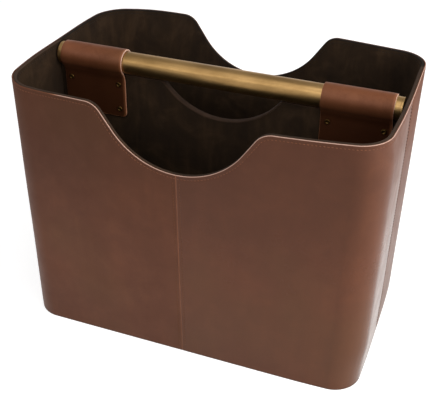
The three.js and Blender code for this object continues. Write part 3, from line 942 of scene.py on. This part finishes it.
def divider_columns():
    """Places along the divider from right to left: a share of the way past the shoulder, and x."""
    flats = [(share, DIVIDER_SCOOP.shoulder_x) for share in spaced(1, 0, END_STEPS)[:-1]]
    scoop = [(0, x) for x in DIVIDER_SCOOP.places()]
    half = [(1, share, x) for share, x in flats + scoop]
    return half + [(-1, share, x) for _, share, x in half[-2::-1]]


def divider_x(column, z):
    sign, share, x = column
    return lerp(sign * x, end_wall_x(sign, INSIDE_OFFSET + CLEARANCE, z), share)


def divider_face_ring(column, sign, seed):
    """Section of a divider's face: up its outside and down its back."""
    inset = BINDING_THICKNESS + CLEARANCE
    top = DIVIDER_SCOOP.height_at(column[2], inset)
    ring = []
    for share in spaced(0, 1, WALL_ROWS):
        z = lerp(FLOOR_LEVEL, top, share)
        still = Vector((divider_x(column, z), sign * DIVIDER_HALF, z))
        fade = smooth((top - z) / WAVE_FADE) * smooth((z - FLOOR_LEVEL) / WAVE_FADE)
        depth = fade * (WAVE_HEIGHT + wave(still, seed)) / 2
        ring.append(still - Vector((0, sign * depth, 0)))
    back_y = sign * (DIVIDER_HALF - DIVIDER_FACE_THICKNESS)
    for z in (top, FLOOR_LEVEL):
        ring.append(Vector((divider_x(column, z), back_y, z)))
    return ring


def divider_core_ring(column):
    half = DIVIDER_HALF - DIVIDER_FACE_THICKNESS - CLEARANCE
    top = DIVIDER_SCOOP.height_at(column[2], BINDING_THICKNESS + CLEARANCE)
    corners = [(-half, FLOOR_LEVEL), (half, FLOOR_LEVEL), (half, top), (-half, top)]
    return [Vector((divider_x(column, z), y, z)) for y, z in corners]


def binding_ring(column):
    """Section of the binding: across its crown and back under it."""
    crown = [(share, BINDING_CROWN * share**4) for share in spaced(-1, 1, BINDING_STEPS)]
    x = divider_x(column, DIVIDER_TOP)
    return [
        Vector((x, DIVIDER_HALF * share, DIVIDER_SCOOP.height_at(column[2], inset)))
        for share, inset in crown + [(1, BINDING_THICKNESS), (-1, BINDING_THICKNESS)]
    ]


def add_divider():
    columns = divider_columns()
    for seed, (name, sign) in enumerate((("back", 1), ("front", -1)), FIRST_DIVIDER_SEED):
        rings = [divider_face_ring(column, sign, seed) for column in columns]
        add_piece(f"divider_skin_{name}", loft(rings), SUEDE, [f"divider_face_{name}"])
    core = loft([divider_core_ring(column) for column in columns])
    add_piece("divider_core", core, BOARD, ["divider_board"])
    binding = loft([binding_ring(column) for column in columns])
    add_piece("binding", binding, BINDING, ["divider_binding"])


# Handle

def turned(profile, sides, to_frame):
    """Rings of a body of revolution. The profile's pairs are a radius and a place along the axis."""
    angles = spaced(0, 2 * pi, sides)[:-1]
    return [[to_frame(along, radius * cos(angle), radius * sin(angle)) for angle in angles]
            for radius, along in profile]


def along_x(along, across, up):
    return Vector((along, across, TUBE_AXIS + up))


def along_y(middle, along, across, up):
    return middle + Vector((across, along, up))


def rounded_end(radius, place, edge, sign):
    """Profile pairs round the outer edge of an end, from the side to the end's face."""
    turn = quarter_turn(ROUNDING_STEPS)
    return [(radius - edge * fall, place + sign * edge * (sine - 1)) for sine, fall in turn]


def add_handle():
    bore = TUBE_RADIUS - TUBE_WALL
    low, high = TUBE_LOW.x, TUBE_HIGH.x
    left_end = rounded_end(TUBE_RADIUS, low, TUBE_EDGE, -1)[::-1]
    right_end = rounded_end(TUBE_RADIUS, high, TUBE_EDGE, 1)
    profile = left_end + right_end + [(bore, high), (bore, low)]
    tube = loft(turned(profile, TURNED_SIDES, along_x), closed=True)
    add_piece("brass_tube", tube, BRASS, ["handle_tube"], body="handle", sharp=30)
    for name, sign in (("left", -1), ("right", 1)):
        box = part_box(f"handle_cap_{name}")
        inner, outer = (box[0].x, box[1].x) if sign > 0 else (box[1].x, box[0].x)
        head = sign * (abs(TUBE_HIGH.x) + CAP_JOINT)
        face = rounded_end(TUBE_RADIUS, outer - sign * CAP_DOME, CAP_EDGE, sign)
        dome = [
            ((TUBE_RADIUS - CAP_EDGE) * (1 - fall), outer - sign * CAP_DOME * (1 - sine))
            for sine, fall in quarter_turn(CAP_DOME_STEPS)[1:-1]
        ]
        plug = bore - CLEARANCE
        back = [(TUBE_EDGE, inner), (plug, inner), (plug, head), (TUBE_RADIUS - TUBE_EDGE, head)]
        profile = back + [(TUBE_RADIUS, head + sign * TUBE_EDGE)] + face + dome + [(TUBE_EDGE, outer)]
        cap = loft(turned(profile, TURNED_SIDES, along_x))
        add_piece(f"brass_cap_{name}", cap, BRASS, [f"handle_cap_{name}"], body="handle", sharp=30)


# Loops

def loop_path(hang):
    """Stations of a loop's inner side in Y and Z about the tube's axis: point, normal, flap place."""
    radius = TUBE_RADIUS + CLEARANCE
    flap = DIVIDER_HALF + CLEARANCE
    neck_radius = (flap**2 + LOOP_PINCH_DROP**2 - radius**2) / (2 * (radius - flap))
    neck_y = flap + neck_radius
    leaning = atan2(LOOP_PINCH_DROP, neck_y)
    drop = hang - LOOP_PINCH_DROP
    rounding = [LOOP_EDGE_ROUNDING * fall for _, fall in quarter_turn(ROUNDING_STEPS)]
    corner = [LOOP_CORNER_RADIUS * fall for _, fall in quarter_turn(LOOP_CORNER_STEPS)]
    near = sorted(set(rounding + [place for place in corner if place > LOOP_EDGE_ROUNDING]))
    far = spaced(near[-1], drop, LOOP_FLAP_STEPS)[1:]
    right = [(Vector((flap, place - hang)), Vector((1, 0)), place) for place in near + far]
    for angle in spaced(0, leaning, LOOP_NECK_STEPS)[1:-1]:
        cosine, sine = cos(angle), sin(angle)
        point = Vector((neck_y - neck_radius * cosine, neck_radius * sine - LOOP_PINCH_DROP))
        right.append((point, Vector((cosine, -sine)), drop))
    over = []
    for angle in spaced(-leaning, pi + leaning, LOOP_WRAP_STEPS):
        normal = Vector((cos(angle), sin(angle)))
        over.append((radius * normal, normal, drop))
    left = [(Vector((-point.x, point.y)), Vector((-normal.x, normal.y)), place)
            for point, normal, place in reversed(right)]
    return right + over + left


def corner_cut(radius, place):
    """How much a round corner takes off, at a distance from where it starts."""
    return radius - sqrt(radius**2 - (radius - place) ** 2) if place < radius else 0


def loop_ring(centre, half_width, point, normal, place):
    """Section of a strap at a station, with soft edges and, by its foot, round corners."""
    half = half_width - corner_cut(LOOP_CORNER_RADIUS, place)
    soft = LOOP_EDGE_ROUNDING
    low = corner_cut(soft, place)
    high = LOOP_THICKNESS - low
    ring, edge = [], []

    def add(x, depth, cut):
        at = point + depth * normal
        ring.append(Vector((centre + x, at.x, TUBE_AXIS + at.y)))
        edge.append(cut)

    # Painted shade on the flap under the tube, which also dims its pale cut edges
    steps = LOOP_SHADE_STEPS
    shaded = sum(part * smooth((start - point.y) / reach) for start, reach, part in steps)
    face, back = (LOOP_FOOT_PALE, LOOP_FOOT_PALE) if place <= soft else (-LOOP_SHADE * shaded, 0)
    pale = {side: value * lerp(1, LOOP_SHADED_PALE, shaded) for side, value in LOOP_CUT_PALE_AND_SHADE.items()}
    for share in spaced(-1, 1, LOOP_WIDTH_STEPS):
        fallen = smooth((abs(share) - LOOP_SQUEEZE_FROM) / (1 - LOOP_SQUEEZE_FROM))
        cut = LOOP_FACE_EDGE_PALE * pale[1] if share == 1 else face
        add((half - soft) * share, high - LOOP_EDGE_SQUEEZE * fallen, cut)
    top = high - LOOP_EDGE_SQUEEZE
    turn = [(half - soft * (1 - sine), soft * fall) for sine, fall in quarter_turn(ROUNDING_STEPS)]
    for across, fall in turn[1:]:
        add(across, top - fall, pale[1])
    for across, rise in reversed(turn):
        add(across, low + rise, pale[1])
    add(0, low, back)
    for across, rise in turn:
        add(-across, low + rise, pale[-1])
    for across, fall in turn[:0:-1]:
        add(-across, top - fall, pale[-1])
    return ring, edge


def add_loops():
    for name in ("left", "right"):
        low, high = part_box(f"loop_{name}")
        centre, half_width = (low.x + high.x) / 2 + LOOP_SHIFT[name], (high.x - low.x) / 2
        path = loop_path(TUBE_AXIS - low.z)
        sections = [loop_ring(centre, half_width, *station) for station in path]
        add_sections(f"strap_{name}", sections, LOOP_LEATHER, [f"loop_{name}"])


def rivet_profile(half_length, head):
    """Profile of a set rivet from its back pole to its front pole. head is the radius of its heads."""
    seat = half_length - RIVET_HEAD_HEIGHT
    roll = RIVET_ROLL_SHARE * head
    rise = RIVET_HEAD_HEIGHT - RIVET_BRIM
    shank = [(RIVET_SHANK_RADIUS, 0), (RIVET_SHANK_RADIUS, seat), (head - RIVET_BRIM / 2, seat)]
    rim = [(head - roll * fall, seat + RIVET_BRIM + rise * sine)
           for sine, fall in quarter_turn(RIVET_RIM_STEPS)]
    dimple = []
    for share in spaced(0, 1, RIVET_DIMPLE_STEPS):
        depth = RIVET_DIMPLE * smooth(share)
        dimple.append((head - roll * (RIVET_DIMPLE_START + share), half_length - depth))
    front = shank + rim + dimple + [(RIVET_BRIM / 4, half_length - RIVET_DIMPLE)]
    return [(radius, -along) for radius, along in reversed(front[1:])] + front


def add_rivets():
    for node_name in sorted(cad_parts):
        if not node_name.startswith("rivet_"):
            continue
        low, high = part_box(node_name)
        side = "left" if low.x < 0 else "right"
        middle = (low + high) / 2 + Vector((LOOP_SHIFT[side], 0, 0))
        half_length = DIVIDER_HALF + CLEARANCE + LOOP_THICKNESS + RIVET_HEAD_HEIGHT
        profile = rivet_profile(half_length, (high.x - low.x) / 2)
        rivet = loft(turned(profile, RIVET_SIDES, partial(along_y, middle)))
        add_piece(f"stud_{node_name[6:]}", rivet, RIVET_BRASS, [node_name], sharp=35)


# Thread

def stitches(path, closed):
    """Stitches along a path of points and normals, each a short strand that dips at its ends."""
    points = path + path[:1] if closed else path
    lengths = [0]
    for (a, _), (b, _) in zip(points, points[1:]):
        lengths.append(lengths[-1] + (b - a).length)
    count = round(lengths[-1] / STITCH_PITCH)
    pitch = lengths[-1] / count
    gap = STITCH_PITCH - STITCH_LENGTH
    strands = []

    def at(distance):
        index = bisect_left(lengths, distance, 1, len(lengths) - 1) - 1
        share = (distance - lengths[index]) / (lengths[index + 1] - lengths[index])
        (a, normal_a), (b, normal_b) = points[index], points[index + 1]
        return a.lerp(b, share), normal_a.lerp(normal_b, share).normalized()

    for i in range(count):
        start, end = i * pitch + gap / 2, (i + 1) * pitch - gap / 2
        rings = []
        for share in spaced(0, 1, STITCH_STEPS):
            point, normal = at(lerp(start, end, share))
            ahead, _ = at(lerp(start, end, share) + gap / 5)
            side = (ahead - point).normalized().cross(normal).normalized()
            arch = sin(pi * share)
            slant = (share - 0.5) * THREAD_RADIUS
            centre = point + normal * THREAD_RADIUS * (STITCH_ARCH * arch - STITCH_SINK) + side * slant
            thick = THREAD_RADIUS * lerp(STITCH_THIN_END, 1, arch)
            angles = spaced(0, 2 * pi, STITCH_SIDES)[:-1]
            rings.append([centre + thick * (cos(angle) * side + sin(angle) * normal)
                          for angle in angles])
        strands.append(loft(rings))
    return joined(strands)


def thread_place(station, offset, z, inward=False):
    """A point in a wall and the normal there."""
    out = (wall_point(station, 0, z) - wall_point(station, INSIDE_OFFSET, z)).normalized()
    return wall_point(station, offset, z), -out if inward else out


def rim_path(offset, inward=False):
    return [thread_place(station, offset, top_of(station, STITCH_INSET), inward) for station in RING]


def seam_path(station):
    top = top_of(station, 2 * STITCH_INSET)
    heights = spaced(2 * STITCH_INSET, top, WALL_ROWS)
    return [thread_place(station, GROOVE_DEPTH, z) for z in heights]


def add_threads():
    add_piece("thread_rim", stitches(rim_path(GROOVE_DEPTH), True), THREAD)
    lining_path = rim_path(INSIDE_OFFSET - LINING_GROOVE_DEPTH, inward=True)
    add_piece("thread_lining", stitches(lining_path, True), LINING_THREAD)
    beside = SEAM_STITCH_INSET
    rows = {
        "end": (Station(*RIM.end(beside), *BASE.end(beside), 0), END_THREAD),
        "side": (Station(*RIM.side(beside), *BASE.side(beside), 0), SEAM_THREAD),
    }
    for name, signs in QUADRANTS.items():
        for place, (station, thread) in rows.items():
            path = seam_path(mirrored([station], *signs)[0])
            add_piece(f"thread_{place}_{name}", stitches(path, False), thread)


# Stage

def add_floor():
    """A pale floor that cameras, metal and glass see as white. It keeps the basket's shadow."""
    mesh = bpy.data.meshes.new("floor")
    corners = [(x * FLOOR_REACH, y * FLOOR_REACH, 0) for x, y in QUADRANTS.values()]
    mesh.from_pydata(corners, [], [(0, 1, 2, 3)])
    floor = new_object("floor", mesh)
    material, tree, _ = new_material("floor")
    tree.nodes.clear()
    path = node(tree, "LightPath").outputs
    seen = combined(tree, "MAXIMUM", path["Is Camera Ray"], path["Is Glossy Ray"])
    seen = combined(tree, "MAXIMUM", seen, path["Is Transmission Ray"])
    lift = combined(tree, "MULTIPLY", seen, FLOOR_LIFT)
    paint = node(tree, "BsdfDiffuse", {"Color": (FLOOR_TONE, FLOOR_TONE, FLOOR_TONE, 1)})
    glow = node(tree, "Emission", {"Strength": lift})
    both = node(tree, "AddShader", {0: paint.outputs[0], 1: glow.outputs[0]})
    node(tree, "OutputMaterial", {"Surface": both.outputs[0]})
    mesh.materials.append(material)


def add_world():
    """A pale backdrop near the horizon, dimmer above it."""
    world = bpy.data.worlds.new("studio")
    world.use_nodes = True
    bpy.context.scene.world = world
    tree = world.node_tree
    sky_place = node(tree, "TexCoord").outputs["Generated"]
    height = node(tree, "SeparateXYZ", {0: sky_place}).outputs["Z"]
    tone = ranged(tree, height, 1, WORLD_TOP, WORLD_PALE_BELOW, WORLD_DIM_ABOVE)
    fill(tree, tree.nodes["Background"], {"Color": (1, 1, 1, 1), "Strength": tone})


def direction(azimuth, elevation):
    """The direction from the basket to a place round it."""
    turn, rise = radians(azimuth), radians(elevation)
    return Vector((sin(turn) * cos(rise), -cos(turn) * cos(rise), sin(rise)))


def add_lamp(name, lamp):
    """A soft rectangular lamp that faces the basket."""
    data = bpy.data.lights.new(name, "AREA")
    data.shape = "RECTANGLE"
    data.size, data.size_y = lamp.size
    data.energy = lamp.power
    data.color = lamp.colour
    back = direction(lamp.azimuth, lamp.elevation)
    made = new_object(name, data)
    made.location = Vector((0, 0, HEIGHT / 2)) + lamp.distance * back
    made.rotation_euler = back.to_track_quat("Z", "Y").to_euler()


def add_camera():
    """The photograph's viewpoint. The angles are round the target, and the roll is about the view."""
    turn, roll = radians(CAMERA_AZIMUTH), radians(CAMERA_ROLL)
    back = direction(CAMERA_AZIMUTH, CAMERA_ELEVATION)
    level = Vector((cos(turn), sin(turn), 0))
    aim = Matrix((level, back.cross(level), back)).transposed().to_4x4()
    data = bpy.data.cameras.new("camera")
    data.sensor_width = SENSOR_WIDTH
    data.lens = CAMERA_FOCUS_PIXELS * SENSOR_WIDTH / PHOTO_WIDTH
    data.clip_end = CAMERA_REACH
    camera = new_object("camera", data)
    place = Matrix.Translation(CAMERA_TARGET + CAMERA_DISTANCE * back)
    camera.matrix_world = place @ aim @ Matrix.Rotation(roll, 4, "Z")
    bpy.context.scene.camera = camera


add_camera()
add_panels()
add_lining()
add_wall_board()
add_base()
add_divider()
add_handle()
add_loops()
add_rivets()
add_threads()

add_floor()
add_world()
for lamp_name, lamp in LAMPS.items():
    add_lamp(lamp_name, lamp)
bpy.context.scene.view_settings.view_transform = "Standard"
